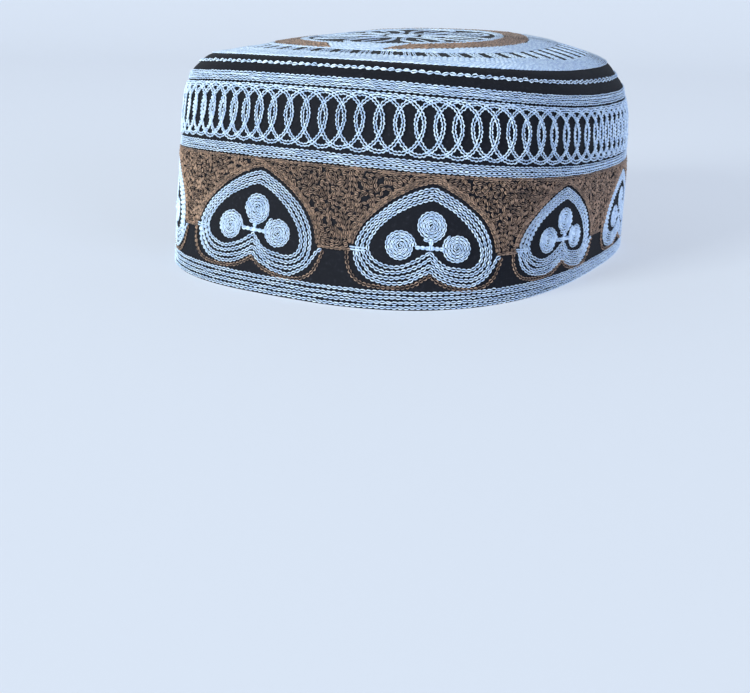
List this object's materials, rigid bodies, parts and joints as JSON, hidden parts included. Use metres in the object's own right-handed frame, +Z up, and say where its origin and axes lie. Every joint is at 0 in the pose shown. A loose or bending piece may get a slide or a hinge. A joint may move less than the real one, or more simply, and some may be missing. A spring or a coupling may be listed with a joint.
{
  "type": "embroidered prayer cap",
  "caption": "Oval brimless cap of stiff black cloth: a side band with a low domed crown, chain-stitched all over in white and brown.",
  "frame": {"origin": "middle of the hem's oval, on the surface that the cap rests on", "axes": "-X toward the front of the cap, +Z up from the hem to the crown, +Y toward the wearer's right"},
  "size_m": [0.2, 0.161, 0.0856],
  "materials": {
    "black_cloth": "matt plain-weave cotton over a stiff backing",
    "crown_cloth": "matt plain-weave cotton over a stiff backing",
    "white_thread": "soft-sheen bluish white embroidery thread",
    "brown_thread": "soft-sheen brown embroidery thread"
  },
  "bodies": {
    "root": {"side_band": "black_cloth", "crown": "crown_cloth"}
  },
  "joints": []
}
